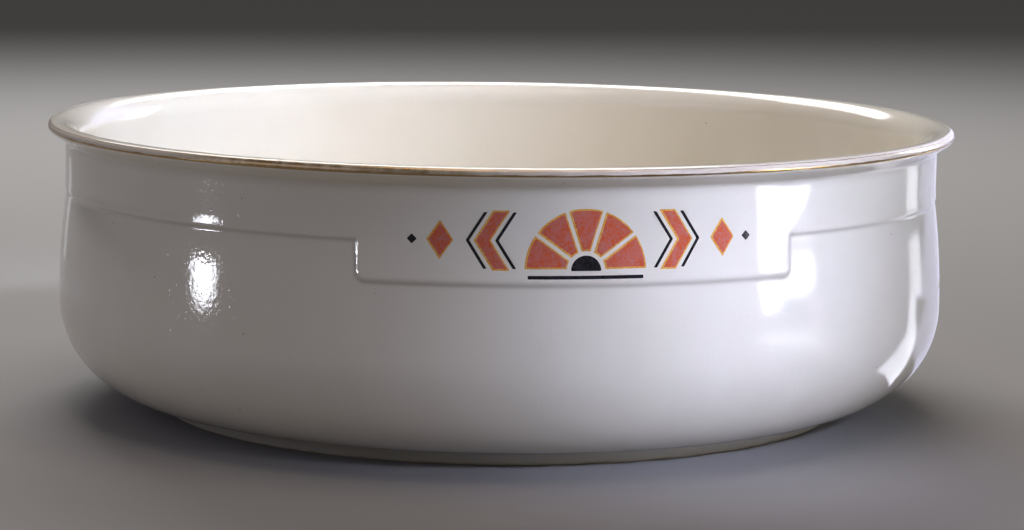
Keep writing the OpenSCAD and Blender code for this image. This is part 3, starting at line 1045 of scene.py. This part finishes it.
# %% Fired earthenware
GRAIN, GRAIN_DEEP, STAIN = 0.0004, 0.00006, 0.012
clay_finish, tree = new_material("bare_fired_earthenware")
place = add(tree, "TexCoord").outputs["Object"]
stain = add(tree, "TexNoise", {"Vector": place, "Scale": 1 / STAIN, "Detail": 4.0})
stained = add(tree, "MapRange", {"Value": stain.outputs["Fac"], "From Min": 0.45,
                                 "From Max": 0.75})
buff = add(tree, "MixRGB", {"Fac": stained.outputs[0], "Color1": linear("#dccdb0"),
                            "Color2": linear("#bba988")})
grain = add(tree, "TexNoise", {"Vector": place, "Scale": 1 / GRAIN, "Detail": 2.0})
grained = add(tree, "Bump", {"Height": grain.outputs["Fac"], "Distance": GRAIN_DEEP,
                             "Strength": 1.0})
clay_shader = add(tree, "BsdfPrincipled", {
    "Base Color": buff.outputs[0], "Roughness": 0.85, "IOR": 1.5, "Normal": grained.outputs[0]})
finish_material(tree, clay_shader)
cover(fired_body, clay_finish)
print("clay grain", GRAIN / MM, "mm, stains", STAIN / MM, "mm")

# %% [markdown]
# ## The worn gilding
#
# Fired gold is a film of a few thousandths of a millimetre, and hands and cloths rub it away where
# the lip is most exposed. What stays is a strong line along the lower border, a thin fainter one
# near the upper border, and a warm stain between them, with more of the gold left on one stretch.
# Two shaders, gold and stained glaze, are mixed by how far across the band a point lies.


# %% How far across the band
def mark_across(mesh):
    """Fills the attribute "across": 0 at the gilding's lower border, 1 at its upper border."""
    co = vertices_in_mm(mesh)
    angle = np.degrees(np.arctan2(co[:, 2] - EDGE_Z, np.hypot(co[:, 0], co[:, 1]) - EDGE_X))
    keep_on_vertices(mesh, "across", (angle - GILT_BELOW) / (EDGE_TOP - GILT_BELOW))
    print("the band is", round(math.radians(EDGE_TOP - GILT_BELOW) * EDGE_R, 1), "mm wide")


mark_across(gilded_edge.data)


# %% Where the gold is rubbed away
def ramp(tree, value, stops):
    """A grey ColorRamp through (position, value) stops."""
    node = add(tree, "ValToRGB", {"Fac": value})
    elements = node.color_ramp.elements
    for element, (spot, grey) in zip(elements, (stops[0], stops[-1])):
        element.position, element.color = spot, (grey, grey, grey, 1)
    for spot, grey in stops[1:-1]:
        elements.new(spot).color = (grey, grey, grey, 1)
    return node


WANDER, PATCH = 0.009, 0.006
WANDER_WIDE = 0.12
gilt_finish, tree = new_material("rubbed_burnished_gold")
place = add(tree, "TexCoord").outputs["Object"]
across = add(tree, "Attribute", attribute_name="across").outputs["Fac"]
# The borders wander a little, as a brushed line's do
wander = add(tree, "TexNoise", {"Vector": place, "Scale": 1 / WANDER, "Detail": 3.0})
shift = add(tree, "MapRange", {"Value": wander.outputs["Fac"], "To Min": -WANDER_WIDE,
                               "To Max": WANDER_WIDE})
level = add(tree, "Math", {0: across, 1: shift.outputs[0]}, operation="ADD").outputs[0]
line = add(tree, "MapRange", {"Value": level, "From Min": 0.18, "From Max": 0.26, "To Min": 1.0,
                              "To Max": 0.0})
# Above the line the gold is rubbed thin in patches; how much is kept changes along the lip
patches = add(tree, "TexNoise", {"Vector": place, "Scale": 1 / PATCH, "Detail": 5.0})
side = add(tree, "SeparateXYZ", {"Vector": place})
along_lip = add(tree, "MapRange", {"Value": side.outputs["X"], "From Min": -0.2,
                                   "From Max": 0.2}).outputs[0]
kept = ramp(tree, along_lip, ((0, 0.12), (0.10, 0.12), (0.17, 1), (0.33, 0.95), (0.44, 0.2),
                              (1, 0.1)))
band = ramp(tree, level, ((0, 1), (0.80, 0.95), (0.86, 0.3), (0.97, 0)))
thin_line = ramp(tree, level, ((0, 0), (0.68, 0), (0.73, 0.7), (0.79, 0.7), (0.84, 0), (1, 0)))
film = add(tree, "Math", {0: kept.outputs[0], 1: band.outputs[0]}, operation="MULTIPLY")
rubbed = add(tree, "MapRange", {"Value": patches.outputs["Fac"], "From Min": 0.35,
                                "From Max": 0.65, "To Min": 0.6, "To Max": 1.0})
faded = add(tree, "Math", {0: film.outputs[0], 1: rubbed.outputs[0]}, operation="MULTIPLY")
both_lines = add(tree, "Math", {0: line.outputs[0], 1: thin_line.outputs[0]},
                 operation="MAXIMUM")
gold_share = add(tree, "Math", {0: both_lines.outputs[0], 1: faded.outputs[0]},
                 operation="MAXIMUM")
print("the borders wander by", WANDER_WIDE, "of the band every", WANDER / MM, "mm")

# %% Burnished gold over a warm stain
gold_tone = add(tree, "MixRGB", {"Fac": wander.outputs["Fac"], "Color1": linear("#a3865a"),
                                 "Color2": linear("#c9a970")})
gold = add(tree, "BsdfPrincipled", {"Base Color": gold_tone.outputs[0], "Metallic": 1.0,
                                    "Roughness": 0.26})
stain = add(tree, "BsdfPrincipled", {"Base Color": linear("#e6dbcb"), "Roughness": 0.12,
                                     "IOR": 1.5})
worn = add(tree, "MixShader", {0: gold_share.outputs[0], 1: stain.outputs[0],
                               2: gold.outputs[0]})
finish_material(tree, worn)
cover(gilded_edge, gilt_finish)
print("gilding node tree has", len(tree.nodes), "nodes")

# %% [markdown]
# ## The fired colours
#
# Enamel colours are ground glass with metal oxides, printed on the glaze and fired again. They
# have the gloss of the glaze. The coral is an iron red that fires unevenly, so it is mottled with
# pink and orange; yellow and black lie flatter.

# %% Coral, yellow and black enamel
MOTTLE, MOTTLE_DEEP, FLECK = 0.0009, 0.000012, 0.004


def enamel(name, low, high, roughness, pieces):
    """A fired colour that varies between two tones in fine mottles, for a print and its copy."""
    material, tree = new_material(name)
    place = add(tree, "TexCoord").outputs["Object"]
    fine = add(tree, "TexNoise", {"Vector": place, "Scale": 1 / MOTTLE, "Detail": 2.0})
    broad = add(tree, "TexNoise", {"Vector": place, "Scale": 1 / FLECK, "Detail": 2.0})
    both = add(tree, "Math", {0: broad.outputs["Fac"], 1: 0.5, 2: fine.outputs["Fac"]},
               operation="MULTIPLY_ADD")
    tone = add(tree, "MapRange", {"Value": both.outputs[0], "From Min": 0.6, "From Max": 0.9})
    colour = add(tree, "MixRGB", {"Fac": tone.outputs[0], "Color1": linear(low),
                                  "Color2": linear(high)})
    skin = add(tree, "Bump", {"Height": fine.outputs["Fac"], "Distance": MOTTLE_DEEP,
                              "Strength": 1.0})
    shader = add(tree, "BsdfPrincipled", {"Base Color": colour.outputs[0], "IOR": 1.5,
                                          "Roughness": roughness, "Normal": skin.outputs[0]})
    finish_material(tree, shader)
    for piece in pieces:
        cover(piece, material)
    print(name, "on", [piece.name for piece in pieces])


enamel("iron_red_enamel", "#d65f35", "#c4746a", 0.16, coral_prints)
enamel("antimony_yellow_enamel", "#dd9a3c", "#ecbb62", 0.14, yellow_prints)
enamel("black_enamel", "#1b191c", "#29262b", 0.18, black_prints)
